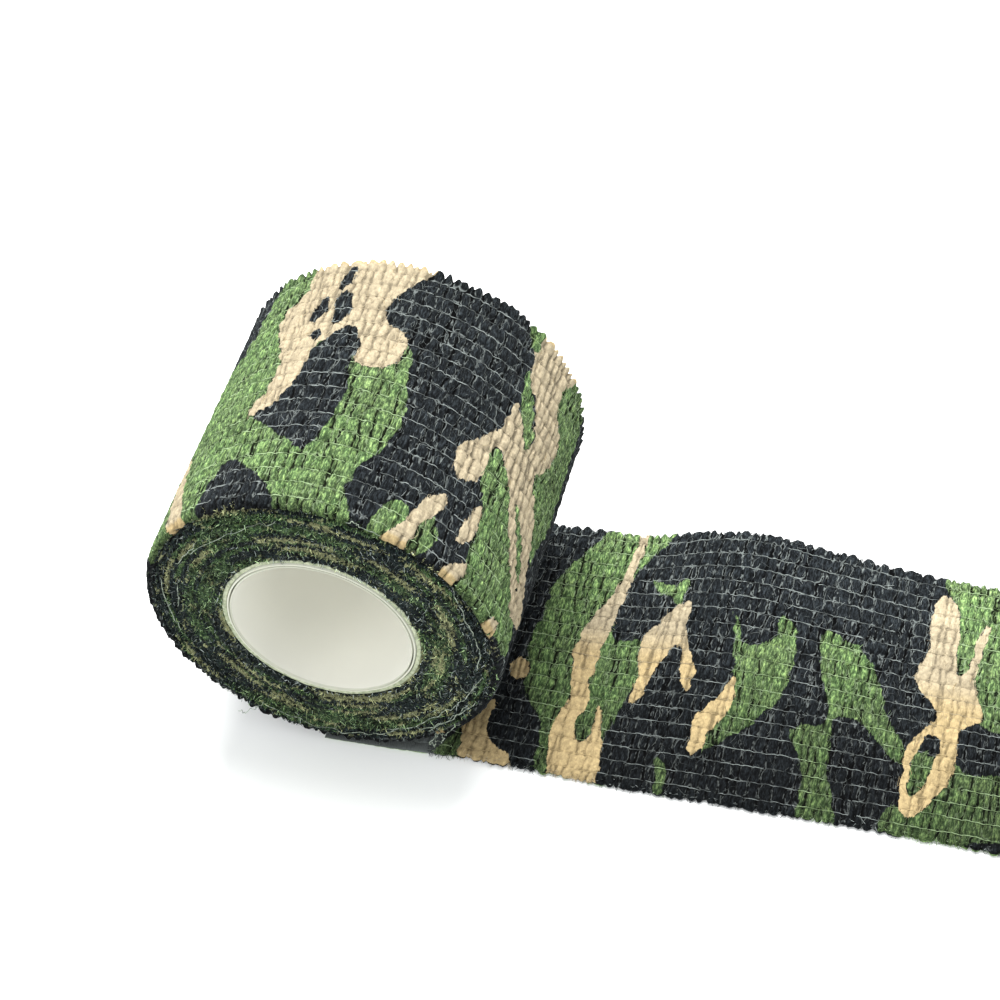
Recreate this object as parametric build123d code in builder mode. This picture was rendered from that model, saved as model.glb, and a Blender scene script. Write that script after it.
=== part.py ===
from build123d import *

import os
from math import asin, degrees

os.makedirs("parts", exist_ok=True)

# A roll of self-adherent crinkled stretch bandage on a plastic core, lying on its side with its free
# end laid out flat. Millimetres. The origin is the middle of the core's bore, +Y runs along the bore,
# +X points along the free end and +Z is up. The bandage is a laminate: an outer ply, lengthwise
# elastic yarns, and an inner ply. It is wound as a true spiral of half-circle arcs.

# Driving dimensions
TAPE_WIDTH = 50.0
ROLL_R = 27.8
TURNS = 15
BORE_R = 14.0
TUBE_WALL = 0.75
WRAP_R = 15.4
RIM_CHAMFER = 0.2
FIT_GAP = 0.05

# The laminate, from the side that faces the core outwards
PLY = 0.22
YARN = 0.20
GLUE_LINE = 0.04
YARN_COUNT = 18
YARN_PITCH = 2.75

# The free end: flat, a low wave with its crest at the fold line, then flat to the cut end
ROLL_CLEARANCE = 0.1
TAIL_START_X = -4.0
WAVE_START_X = 30.0
FOLD_X = 57.0
WAVE_END_X = 87.0
TAIL_END_X = 112.0
WAVE_HEIGHT = 2.2
FOLD_GAP = 0.05

# Derived sizes
TUBE_R = BORE_R + TUBE_WALL
WRAP_BORE_R = TUBE_R + FIT_GAP
STACK = 2 * PLY + YARN + 2 * GLUE_LINE
SPIRAL_R = WRAP_R + FIT_GAP
TURN_PITCH = (ROLL_R - STACK - SPIRAL_R) / TURNS
FLOOR_Z = -(ROLL_R + ROLL_CLEARANCE + STACK)

# Each layer's distance from the laminate's core-facing side, as (near side, far side)
INNER_PLY = (0.0, PLY)
YARN_LAYER = (PLY + GLUE_LINE, PLY + GLUE_LINE + YARN)
OUTER_PLY = (STACK - PLY, STACK)


def spiral_arcs(depth):
    """One side of a wound layer, from under the core outwards, at a depth in the laminate."""
    bottom = SPIRAL_R + depth
    for half_turn in range(2 * TURNS):
        radius = SPIRAL_R + depth + TURN_PITCH / 4 + half_turn * TURN_PITCH / 2
        if half_turn % 2 == 0:
            centre = radius - bottom
            CenterArc((0, centre), radius, start_angle=-90, arc_size=180)
            top = centre + radius
        else:
            centre = top - radius
            CenterArc((0, centre), radius, start_angle=90, arc_size=180)
            bottom = radius - centre
    return bottom


def wound_outline(layer):
    """The closed outline of one layer of the wound bandage."""
    inner_end = spiral_arcs(layer[0])
    outer_end = spiral_arcs(layer[1])
    Line((0, -inner_end), (0, -outer_end))
    Line((0, -SPIRAL_R - layer[0]), (0, -SPIRAL_R - layer[1]))


def wave_side(start, direction, flat, slope_length, height):
    """One side of a layer of the free end: a wave falling from its crest to the flat stretch."""
    radius = (slope_length**2 + WAVE_HEIGHT**2) / (4 * WAVE_HEIGHT)
    sweep = degrees(2 * asin(WAVE_HEIGHT / (slope_length**2 + WAVE_HEIGHT**2) ** 0.5))
    over = JernArc(start, (direction, 0), radius + height, -direction * sweep)
    under = JernArc(over @ 1, over % 1, radius - height, direction * sweep)
    level = Line(under @ 1, (under @ 1) + (direction * flat, 0))
    return level @ 1


def free_outline(layer, crest_x, direction, flat, slope_length):
    """The closed outline of one layer of the free end, which lies with its outer ply down."""
    low = STACK - layer[1]
    high = STACK - layer[0]
    crest_z = FLOOR_Z + WAVE_HEIGHT
    low_end = wave_side((crest_x, crest_z + low), direction, flat, slope_length, low)
    high_end = wave_side((crest_x, crest_z + high), direction, flat, slope_length, high)
    Line(low_end, high_end)
    Line((crest_x, crest_z + low), (crest_x, crest_z + high))


def under_roll_outline(layer):
    """The stretch of the free end from under the roll to the fold line."""
    crest_x = FOLD_X - FOLD_GAP / 2
    free_outline(layer, crest_x, -1, WAVE_START_X - TAIL_START_X, crest_x - WAVE_START_X)


def beyond_fold_outline(layer):
    """The stretch of the free end from the fold line to the cut end."""
    crest_x = FOLD_X + FOLD_GAP / 2
    free_outline(layer, crest_x, 1, TAIL_END_X - WAVE_END_X, WAVE_END_X - crest_x)


def save(node, label):
    """Label a finished piece and write it."""
    node.part.label = label
    export_step(node.part, f"parts/{label}.step")


# Core: a thin plastic tube, and the adhesive wrap that holds the first turn
with BuildPart() as core_tube:
    with BuildSketch(Plane.XZ):
        Circle(TUBE_R)
        Circle(BORE_R, mode=Mode.SUBTRACT)
    extrude(amount=TAPE_WIDTH / 2, both=True)
    chamfer(core_tube.edges().filter_by(GeomType.CIRCLE), RIM_CHAMFER)
save(core_tube, "core_tube")

with BuildPart() as core_wrap:
    with BuildSketch(Plane.XZ):
        Circle(WRAP_R)
        Circle(WRAP_BORE_R, mode=Mode.SUBTRACT)
    extrude(amount=TAPE_WIDTH / 2 - RIM_CHAMFER, both=True)
save(core_wrap, "core_wrap")

# The two plies, in the three stretches that move apart
for stretch, outline in (
    ("roll", wound_outline),
    ("tail", under_roll_outline),
    ("tail_end", beyond_fold_outline),
):
    for side, layer in (("inner_ply", INNER_PLY), ("outer_ply", OUTER_PLY)):
        with BuildPart() as ply:
            with BuildSketch(Plane.XZ):
                with BuildLine():
                    outline(layer)
                make_face()
            extrude(amount=TAPE_WIDTH / 2, both=True)
        save(ply, f"{stretch}_{side}")

# The elastic yarns: one node each in the roll, one group for each stretch of the free end
first_yarn_y = -YARN_PITCH * (YARN_COUNT - 1) / 2
yarn_planes = [Plane.XZ.offset(-(first_yarn_y + i * YARN_PITCH)) for i in range(YARN_COUNT)]

for number, plane in enumerate(yarn_planes, start=1):
    with BuildPart() as roll_yarn:
        with BuildSketch(plane):
            with BuildLine():
                wound_outline(YARN_LAYER)
            make_face()
        extrude(amount=YARN / 2, both=True)
    save(roll_yarn, f"roll_yarn_{number:02d}")

for stretch, outline in (("tail", under_roll_outline), ("tail_end", beyond_fold_outline)):
    with BuildPart() as yarn_group:
        with BuildSketch(*yarn_planes):
            with BuildLine():
                outline(YARN_LAYER)
            make_face()
        extrude(amount=YARN / 2, both=True)
    save(yarn_group, f"{stretch}_yarns")

print("turn pitch", round(TURN_PITCH, 3), "laminate", round(STACK, 3), "floor", round(FLOOR_Z, 3))
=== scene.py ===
import bpy
import math
import numpy as np
from mathutils import Matrix, Vector


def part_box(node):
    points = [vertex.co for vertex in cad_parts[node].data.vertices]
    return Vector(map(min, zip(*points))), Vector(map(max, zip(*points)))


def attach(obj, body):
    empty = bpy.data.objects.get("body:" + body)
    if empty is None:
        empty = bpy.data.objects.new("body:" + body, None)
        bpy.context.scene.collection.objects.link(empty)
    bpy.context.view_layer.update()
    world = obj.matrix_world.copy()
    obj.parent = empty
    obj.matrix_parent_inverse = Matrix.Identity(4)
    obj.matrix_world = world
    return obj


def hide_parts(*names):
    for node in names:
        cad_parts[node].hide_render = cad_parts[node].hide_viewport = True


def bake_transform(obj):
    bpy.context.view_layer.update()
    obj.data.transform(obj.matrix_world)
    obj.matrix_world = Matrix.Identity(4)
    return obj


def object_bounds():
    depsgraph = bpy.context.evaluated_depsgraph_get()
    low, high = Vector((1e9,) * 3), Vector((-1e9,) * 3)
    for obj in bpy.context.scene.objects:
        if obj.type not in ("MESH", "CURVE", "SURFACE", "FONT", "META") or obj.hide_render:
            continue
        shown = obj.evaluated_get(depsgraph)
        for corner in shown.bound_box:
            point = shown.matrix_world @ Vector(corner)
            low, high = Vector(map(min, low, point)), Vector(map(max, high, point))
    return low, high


# A roll of self-adherent crinkled bandage with a woodland print, on a plastic core, with its free end
# laid out along the table. Lengths below are millimetres until a mesh is made from them.
# The strip has two coordinates: s runs along it and y across it, as +Y does in the frame.
MM = 0.001
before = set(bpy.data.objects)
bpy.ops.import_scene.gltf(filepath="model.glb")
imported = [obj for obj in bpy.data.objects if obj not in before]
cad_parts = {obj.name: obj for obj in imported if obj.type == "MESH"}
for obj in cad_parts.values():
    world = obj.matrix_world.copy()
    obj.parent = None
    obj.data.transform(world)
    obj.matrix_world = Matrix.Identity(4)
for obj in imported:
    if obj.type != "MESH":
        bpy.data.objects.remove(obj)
cad_box = [list(map(float, corner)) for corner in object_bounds()]

ROLL_R = 27.8
ROUND = 2 * math.pi * ROLL_R
DEGREE = ROUND / 360
CORE_R = 15.45
TUBE_WALL = 0.75
TURN_PITCH = 0.775
HALF_WIDTH = 25.0
YARN_PITCH = 2.75
YARNS = 18
FLOOR_Z = cad_box[0][2] / MM
TAIL_START = -4.0
TAIL_END = cad_box[1][0] / MM
TAIL_MID = FLOOR_Z + 0.47
YARN_Y = [(i - (YARNS - 1) / 2) * YARN_PITCH for i in range(YARNS)]


# --- numbers

def hashed(ix, iy, iz, seed):
    """A repeatable value from 0 to 1 for each lattice point."""
    h = (ix.astype(np.int64) * 374761393 + iy.astype(np.int64) * 668265263
         + iz.astype(np.int64) * 2147483647 + seed * 1274126177) & 0xFFFFFFFF
    h = ((h ^ (h >> 13)) * 1274126177) & 0xFFFFFFFF
    h = ((h ^ (h >> 16)) * 2246822519) & 0xFFFFFFFF
    return ((h ^ (h >> 15)) & 0xFFFFFF) / float(0xFFFFFF)


def noise(x, y, z, size, seed):
    """Smooth noise from -1 to 1 whose lumps are about size across."""
    x, y, z = np.broadcast_arrays(np.asarray(x, float) / size, np.asarray(y, float) / size,
                                  np.asarray(z, float) / size)
    i, j, k = np.floor(x), np.floor(y), np.floor(z)
    u, v, w = x - i, y - j, z - k
    u, v, w = (t * t * (3 - 2 * t) for t in (u, v, w))
    total = 0.0
    for a in (0, 1):
        for b in (0, 1):
            for c in (0, 1):
                share = (u if a else 1 - u) * (v if b else 1 - v) * (w if c else 1 - w)
                total = total + share * hashed(i + a, j + b, k + c, seed)
    return total * 2 - 1


def smooth(t):
    t = np.clip(t, 0, 1)
    return t * t * (3 - 2 * t)


def through(points, steps, closed):
    """A smooth curve through the points, with so many steps from each to the next."""
    p = np.array(points, float)
    n = len(p)
    spans = n if closed else n - 1
    out = []
    for i in range(spans):
        a, b, c, d = (p[j % n] if closed else p[min(max(j, 0), n - 1)] for j in (i - 1, i, i + 1, i + 2))
        t = np.linspace(0, 1, steps, endpoint=False)[:, None]
        out.append(0.5 * (2 * b + (c - a) * t + (2 * a - 5 * b + 4 * c - d) * t * t
                          + (3 * b - a - 3 * c + d) * t ** 3))
    if not closed:
        out.append(p[-1:])
    return np.concatenate(out)


# --- the woodland print

def ellipse(s, y, along, across, turn):
    a = np.radians(np.arange(0, 360, 45))
    c, d = math.cos(math.radians(turn)), math.sin(math.radians(turn))
    x, z = along * np.cos(a), across * np.sin(a)
    return [(s + c * p - d * q, y + d * p + c * q) for p, q in zip(x, z)]


def at_angle(patches):
    """Patches whose outlines are given as degrees round the roll from its top, and y."""
    return [(colour, [(a * DEGREE, y) for a, y in loop]) for colour, loop in patches]


# Patches of the free end, as (s, y). The last colour painted wins.
TAIL_PRINT = [
    ("green", [(32.5, 26), (28.7, 21.2), (26.3, 17.5), (24.5, 12), (23.9, 5.3), (23.3, -0.5), (24.3, -8),
        (26.2, -12.2), (29, -16.3), (30.8, -26), (37, -26), (39.8, -15), (41, -9), (42, -4.5), (41.2, 2.8),
        (36, 2.7), (36.2, 12), (37, 16.2), (39, 20.3), (41.6, 26)]),
    ("tan", [(35.9, 26), (35.8, 20), (34.7, 13.7), (33.3, 9.5), (31.8, 5.3), (30.8, 0.3), (31, -3.8),
        (32.3, -8.8), (32, -12.2), (31, -15.5), (31.3, -19.7), (32.8, -26), (39.6, -26), (39.5, -19.7),
        (38.6, -14.7), (37.4, -10.8), (37.2, -15.5), (36.2, -18.4), (34.9, -17.2), (34.4, -14.3),
        (35.3, -11.3), (34.7, -6.3), (34.9, -0.5), (35.6, 5.3), (36.3, 12), (37, 18.7), (37.4, 26)]),
    ("tan", [(43.3, 6.6), (45.3, 10), (47.7, 10), (48, 5.3), (49, 2), (50.5, -1.8), (50.8, -6), (49.5, -6),
        (48.5, -1.8), (47.4, 2), (45.8, 0.3), (44, -4.3), (43, -8.8), (41.6, -8.8), (42, -4.3),
        (41.3, -0.5), (41.2, 3.7)]),
    ("green", [(40.6, 15), (43.5, 14.2), (46.3, 14.8), (45.9, 10.2), (44, 11.8), (42, 12.8)]),
    ("green", [(55.3, 8.3), (56.2, 6.6), (57.4, 3.7), (59.5, 3.7), (62, 5.8), (62, 9.6), (63.8, 9.3),
        (65.3, 6.2), (65.4, -2.2), (63.7, -6.8), (60.3, -11.3), (56.2, -15.5), (53.7, -16.8), (54.5, -13),
        (57, -8.8), (57, -2.2), (56.2, 2)]),
    ("tan", [(57, -2.6), (57.8, -5.5), (57.4, -8.8), (55.3, -12.6), (54.5, -16.8), (53, -17.2),
        (52.3, -13.8), (52.8, -10.5), (55, -7.2), (56.2, -3.8)]),
    ("green", [(69.3, 9.2), (71.6, 8.9), (75.8, 7), (78.7, 2.8), (81.2, -3.8), (84.5, -8.8), (86.2, -13),
        (84, -12.2), (80.3, -8.8), (76.6, -6), (73.7, -6.8), (73.8, -11.3), (74.3, -17.2), (76.2, -23),
        (75.8, -26), (71.2, -26), (70.8, -19.7), (69.5, -14.7), (67.5, -11.3), (68.7, -9.3), (71.6, -8.4),
        (72.4, -5.5), (70.8, -0.5), (69.5, 4.5)]),
    ("green", [(48, -19), (50, -20.5), (50.4, -26), (49.2, -26), (48.8, -22.2)]),
    ("green", [(88.2, 26), (114, 26), (114, -1), (104, -1.5), (100, -3.5), (95, -2), (91, 6), (89.4, 14),
        (88.6, 20)]),
    ("green", [(92, -11), (95, -12.4), (100, -11.2), (106, -9), (114, -12), (114, -26), (85.3, -26),
        (84.6, -20.5), (88, -21), (90.5, -17)]),
    ("tan", [(85.8, 20.8), (87.4, 21.6), (89, 19.5), (90, 14.5), (90.3, 9.5), (90.8, 6.2), (92.2, 7.4),
        (92.8, 12), (94, 17.5), (94.5, 14.5), (93.5, 8.7), (94, 3.7), (95.6, -0.5), (94.5, -3),
        (92.4, -5.5), (92.8, -10.5), (91.6, -15.5), (89.5, -19.7), (87.4, -22.2), (85.8, -20.5),
        (85.2, -14.7), (85.3, -9.7), (87, -5.5), (88.8, -2.2), (87.4, 0.3), (85, 2.8), (84.5, 5.3),
        (85.8, 10.3), (85.3, 16.2)]),
    ("green", [(88.4, -9), (89.8, -10), (89, -14.7), (87.2, -18), (86.3, -16.8), (86.3, -12.2),
        (87.2, -8.8)]),
    ("dark", [(87.6, -6.7), (89.7, -6.5), (90.2, -9.3), (88.9, -10.4), (88.2, -9.2), (87.2, -9.6)]),
    # Painted shadow: this dark strip along the near edge, from s 97 to 108, stands for the shadow under that
    # edge.
    ("dark", [(97, -24.4), (103, -23.9), (108, -24.4), (108, -27), (96, -27)]),
    ("tan", [(17, -17.2), (19, -14.7), (20.8, -13.8), (21.2, -19.7), (23.3, -22.2), (25.8, -23.4),
        (25.3, -26), (17.8, -26)]),
    ("tan", [(21.8, -4.3), (24.3, -5), (24.3, -8), (22, -8.4)]),
    ("green", [(14, -27), (14.6, -23.5), (16, -21), (16.8, -18), (17.6, -27)]),
    ("green", [(-6, 27), (-6, 14), (3, 8), (9, 14), (12, 27)]),
    ("tan", [(102, 20), (106, 15), (108, 8), (106, 3), (103, 9), (101, 14)]),
]

# Patches of the roll's outermost turn that show from in front.
FRONT_PRINT = at_angle([
    ("green", [(-44, 27), (-26, 27), (-20, 12), (-6, 6), (5, 6), (14.4, 9.3), (17.8, 6), (18.6, 2.8),
        (21.3, -3.8), (20, -9.7), (15.3, -14.7), (13, -19.7), (12, -27), (-62, -27), (-67, -15), (-76, -6),
        (-86, 3), (-68, 9), (-52, 13)]),
    ("dark", [(-74, 27), (-45, 27), (-47, 21), (-52, 15.5), (-60, 11), (-74, 11)]),
    ("tan", [(-63, -7), (-57, -9), (-51, -15), (-44.5, -21), (-38.5, -27), (-47, -27), (-54, -20),
        (-62, -12.5)]),
    ("tan", [(-25, 27), (-4, 27), (15.3, 27), (10, 22), (5.8, 18.7), (4, 15.3), (5.8, 12.7), (11.8, 11.6),
        (14.4, 9), (13, 5), (7.5, 3.3), (0.7, 4), (-0.2, 8.3), (-2.8, 10.3), (-6.2, 10.8), (-11.3, 8.7),
        (-14.8, 6.6), (-15.6, 2), (-17.3, -2.2), (-23.4, -6), (-28.5, -6.5), (-30.2, -4.7), (-26, -1.8),
        (-25, 2), (-26.8, 6.2), (-30.2, 9.5), (-33.7, 14.5), (-32.8, 17.8), (-27.6, 20)]),
]) + [
    ("dark", ellipse(-13.4 * DEGREE, 21.8, 1.1, 2.4, -12)),
    ("dark", ellipse(-19.1 * DEGREE, 15.3, 1.4, 2.9, -18)),
    ("dark", ellipse(-10.8 * DEGREE, 15.3, 1.5, 3.7, 6)),
    ("dark", ellipse(-16.1 * DEGREE, 9.7, 0.9, 1.3, 10)),
] + at_angle([
    ("dark", [(-6.2, 10.9), (-1.9, 10), (-0.2, 3.7), (2, -2.2), (-0.2, -10.5), (-4.5, -14.3),
        (-11.3, -12.2), (-20, -9.3), (-26.8, -6.8), (-20.8, -4.7), (-17.3, -2.2), (-15.6, 2), (-14, 7)]),
    ("dark", [(-28.5, -15.3), (-20.8, -17.2), (-12.2, -20.5), (-7, -23.8), (-6, -27), (-31, -27),
        (-33.7, -22.2), (-32.3, -18)]),
    ("green", [(72, 27), (88, 27), (95, 20), (96, 4), (91, -3), (88, -8), (78, -1.3), (70, 2.7), (70, 12),
        (70, 20.8)]),
    ("green", [(51.8, 0.6), (62.5, -3), (72, -5), (84.8, -12), (91.6, -17), (95, -23), (81.3, -24.5),
        (66, -25.6), (57.3, -25.2), (55.6, -19.7), (56.5, -13), (53.9, -8.8), (50.8, -6.3)]),
    ("tan", [(55.6, 27), (77, 27), (72, 20.8), (72.8, 17), (79.6, 13.7), (80, 9.5), (76.2, 5.3), (72, 2.7),
        (78, -1.3), (84.8, -6.3), (89, -9.7), (97.6, -13), (102, -15), (95, -17.2), (84.8, -18.4),
        (78, -14.7), (69.3, -10), (62.5, -3.8), (55.6, 0.2), (51.8, 0.3), (50.5, -6.3), (46.7, -8.8),
        (42.2, -8.4), (40.7, -3.8), (45.3, -0.5), (51.3, 3.7), (53, 9), (55.6, 10), (61, 6.2), (63.8, 4.5),
        (65.6, 7.8), (61, 13.3), (55.6, 16.6)]),
    ("green", [(67.6, -4.3), (72.8, -6.3), (81.3, -10.5), (86, -14.2), (79.6, -12.2), (72.8, -8.8)]),
    ("green", [(55.2, 17), (60, 12.8), (65, 7.8), (63.8, 4.7), (57.3, 9.5), (54.4, 14.5)]),
    ("green", [(49, 27), (55.5, 27), (55, 21.5), (51.5, 22.5)]),
    ("green", [(31.6, -18.4), (33.5, -22), (28, -27), (23, -27), (26, -20)]),
    ("green", [(36.5, -19.7), (41, -17.8), (44, -20.5), (42.2, -24), (36.4, -26)]),
    ("tan", [(41, -13.2), (43, -15.5), (37.6, -20.5), (34.7, -27), (26.8, -27), (31.6, -22.2),
        (37, -15.5)]),
    ("tan", [(53.9, -10.6), (56.2, -13.4), (54.7, -17.2), (50.8, -18.9), (51.3, -14.7)]),
    ("tan", [(57, -21), (56.5, -24.3), (52.2, -26.5), (49.6, -24.5), (53, -22.2)]),
    ("tan", [(76, -23), (80.5, -23.3), (79.5, -26), (75, -26)]),
])

# The print repeats along the strip, so the back of the roll carries the free end's patches again,
# turned over, where nothing is seen of it from in front.
BACK_SHIFT = 33.0
BACK_PRINT = [(colour, [(s + BACK_SHIFT, -y) for s, y in loop]) for colour, loop in TAIL_PRINT
              if 24 < min(p[0] for p in loop) and max(p[0] for p in loop) < 100]
ROLL_PRINT = BACK_PRINT + FRONT_PRINT
# Past this point the roll's own positions are counted from the other side of its top.
BEHIND = 128.0


def depth_in(loop, s, y):
    """How deep each point is inside a smooth closed outline, in mm, and below 0 outside it."""
    line = through(loop, 5, True)
    low, high = line.min(0) - 2, line.max(0) + 2
    near = (s > low[0]) & (s < high[0]) & (y > low[1]) & (y < high[1])
    depth = np.full(s.shape, -2.0)
    if not near.any():
        return depth
    px, py = s[near], y[near]
    best, inside = np.full(px.shape, 9.0), np.zeros(px.shape, bool)
    for (ax, ay), (bx, by) in zip(line, np.roll(line, -1, 0)):
        dx, dy = bx - ax, by - ay
        t = np.clip(((px - ax) * dx + (py - ay) * dy) / max(dx * dx + dy * dy, 1e-9), 0, 1)
        best = np.minimum(best, np.hypot(px - ax - t * dx, py - ay - t * dy))
        if dy:
            inside ^= ((ay > py) != (by > py)) & (px < ax + dx * (py - ay) / dy)
    depth[near] = np.where(inside, best, -best).clip(-2, 2)
    return depth


def printed(patches, s, y, round_roll=False):
    """Depth inside green and inside tan at each point of the strip."""
    s, y = np.asarray(s, float).ravel(), np.asarray(y, float).ravel()
    s = s + 0.32 * noise(s, y, 0, 1.5, 5) + 0.12 * noise(s, y, 0, 0.6, 6)
    y = y + 0.34 * noise(s, y, 9, 1.7, 7)
    if round_roll:
        s = np.where(s > BEHIND, s - ROUND, s)
    green, tan = np.full(s.shape, -2.0), np.full(s.shape, -2.0)
    for colour, loop in patches:
        depth = depth_in(loop, s, y)
        if round_roll:
            depth = np.maximum(depth, depth_in(loop, s + ROUND, y))
        green = np.maximum(green, depth) if colour == "green" else np.minimum(green, -depth)
        tan = np.maximum(tan, depth) if colour == "tan" else np.minimum(tan, -depth)
    return green, tan


# --- puckered surface

class Puckers:
    """The gathered surface of a length of strip: crosswise pillows between the lengthwise yarns.
    height() is 1 on a crest and near 0 in a crease."""

    def __init__(self, start, end, seed, closed):
        rng = np.random.default_rng(seed)
        self.start, self.end, self.closed, self.seed = start, end, closed, seed
        creases = start + np.cumsum(rng.uniform(0.80, 1.85, int((end - start) / 0.9)))
        creases = creases[creases < end - 0.5]
        creases = start + (creases - start) * ((end - start) / (creases[-1] - start))
        shift, rows, depths = np.zeros(len(creases)), [], []
        for _ in range(YARNS + 1):
            shift = 0.5 * shift + rng.normal(0, 0.30, len(creases))
            depth = rng.uniform(0.5, 1.1, len(creases))
            depth[rng.random(len(creases)) < 0.20] *= 0.3
            rows.append(creases + np.clip(shift, -0.6, 0.6))
            depths.append(depth)
        self.rows, self.depths = np.array(rows), np.array(depths)

    def height(self, s, y):
        """s is a row of positions along the strip, and y one position across it."""
        at = (y - YARN_Y[0]) / YARN_PITCH + 1
        row = int(np.clip(math.floor(at), 0, YARNS))
        across = at - row
        if row == 0:
            across = (y + HALF_WIDTH) / (YARN_Y[0] + HALF_WIDTH)
            across = 0.5 + 0.5 * min(max(across, 0), 1)
        elif row == YARNS:
            across = 0.5 * min(max(across * YARN_PITCH / (HALF_WIDTH - YARN_Y[-1]), 0), 1)
        beside = min(max(row + (1 if across > 0.5 else -1), 0), YARNS)
        mix = 0.5 * float(smooth((abs(across - 0.5) - 0.3) / 0.2)) if beside != row else 0.0
        creases = self.rows[row] * (1 - mix) + self.rows[beside] * mix
        depths = self.depths[row] * (1 - mix) + self.depths[beside] * mix
        order = np.argsort(creases)
        creases, depths = creases[order], depths[order]
        if self.closed:
            length = self.end - self.start
            creases = np.concatenate([creases - length, creases, creases + length])
            depths = np.tile(depths, 3)
        lean = 0.40 * noise(s, y, self.seed, 2.4, 11) * (across - 0.5) * 2
        wobble = 0.16 * noise(s, y, self.seed, 0.6, 12)
        p = s + lean + wobble
        k = np.clip(np.searchsorted(creases, p), 1, len(creases) - 1)
        left, right = p - creases[k - 1], creases[k] - p
        width = 0.25
        valley = depths[k - 1] * np.exp(-np.abs(left) / width) + depths[k] * np.exp(-np.abs(right) / width)
        gap = np.maximum(left + right, 0.3)
        crown = 1 - (2 * left / gap - 1).clip(-1, 1) ** 2
        body = 0.74 + 0.26 * crown - 0.85 * valley
        dip = math.exp(-((0.5 - abs(across - 0.5)) * YARN_PITCH / 0.34) ** 2) if beside != row else 0.0
        body = body - dip * 0.42 * (0.4 + 0.6 * np.clip(body, 0, 1))
        body = body + 0.16 * noise(s, y, self.seed, 0.5, 13) + 0.14 * noise(s, y, self.seed, 3.5, 14)
        return np.clip(body, -0.1, 1.25)


def across_rows():
    """Positions across the strip: one on every yarn, six to a gap and four beside each cut edge."""
    marks = [-HALF_WIDTH] + YARN_Y + [HALF_WIDTH]
    out = []
    for a, b in zip(marks, marks[1:]):
        out += list(np.linspace(a, b, 4 if b - a < YARN_PITCH - 0.1 else 6, endpoint=False))
    return np.array(out + [HALF_WIDTH])


ROWS = across_rows()


# --- meshes

def add_object(name, data):
    obj = bpy.data.objects.new(name, data)
    bpy.context.scene.collection.objects.link(obj)
    return obj


def mesh_object(name, points, faces, material, **values):
    """A smooth-shaded object from points in mm. values are its point attributes."""
    mesh = bpy.data.meshes.new(name)
    mesh.from_pydata((np.asarray(points) * MM).tolist(), [], faces)
    mesh.materials.append(material)
    mesh.polygons.foreach_set("use_smooth", np.ones(len(mesh.polygons), bool))
    for key, value in values.items():
        layer = mesh.attributes.new(key, "FLOAT", "POINT")
        layer.data.foreach_set("value", np.asarray(value, np.float32).ravel())
    mesh.update()
    return add_object(name, mesh)


def grid_faces(rows, columns, first=0, wrap_columns=False, wrap_rows=False, flip=False):
    i = np.arange(rows if wrap_rows else rows - 1)[:, None]
    j = np.arange(columns if wrap_columns else columns - 1)[None, :]
    i2, j2 = (i + 1) % rows, (j + 1) % columns
    quad = np.stack(np.broadcast_arrays(i * columns + j, i * columns + j2, i2 * columns + j2,
                                        i2 * columns + j), -1).reshape(-1, 4) + first
    return (quad[:, ::-1] if flip else quad).tolist()


def tubes(paths, radii, sides):
    """Thin closed tubes along point rows. radii holds one row for each path. Returns points, faces and,
    for every point, which path it belongs to and how far along it lies."""
    points, faces, owner, along = [], [], [], []
    base = 0
    a = np.linspace(0, 2 * math.pi, sides, endpoint=False)
    for index, (path, radius) in enumerate(zip(paths, radii)):
        path = np.asarray(path, float)
        n = len(path)
        step = np.gradient(path, axis=0)
        step /= np.maximum(np.linalg.norm(step, axis=1, keepdims=True), 1e-9)
        side = np.cross(step, np.where(np.abs(step[:, 2:3]) < 0.9, [[0.0, 0, 1]], [[1.0, 0, 0]]))
        side /= np.maximum(np.linalg.norm(side, axis=1, keepdims=True), 1e-9)
        other = np.cross(step, side)
        ring = (path[:, None] + np.asarray(radius)[:, None, None]
                * (np.cos(a)[None, :, None] * side[:, None] + np.sin(a)[None, :, None] * other[:, None]))
        points.append(ring.reshape(-1, 3))
        faces += grid_faces(n, sides, base, wrap_columns=True)
        faces.append(list(range(base, base + sides)))
        faces.append(list(range(base + n * sides - 1, base + (n - 1) * sides - 1, -1)))
        owner += [index] * (n * sides)
        along += list(np.repeat(np.arange(n), sides))
        base += n * sides
    return np.concatenate(points), faces, np.array(owner), np.array(along)


def fibre_mesh(name, paths, radii, material, green, tan, tint, pale, lift=(1.0, 0.0)):
    """Fibres of one colour and shade each. lift is its root's height and what each step adds; where it is
    low, the material paints the creases' shade on them.
    """
    points, faces, owner, along = tubes(paths, radii, 3)
    return mesh_object(name, points, faces, material, green=green[owner], tan=tan[owner],
                       lift=lift[0] + lift[1] * along, shade=tint[owner], pale=pale[owner])


def around(radius, angle, y):
    """Points about the roll's axis, at an angle from its top."""
    return np.stack(np.broadcast_arrays(radius * np.sin(angle), y, radius * np.cos(angle)), -1)


# --- materials

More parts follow.
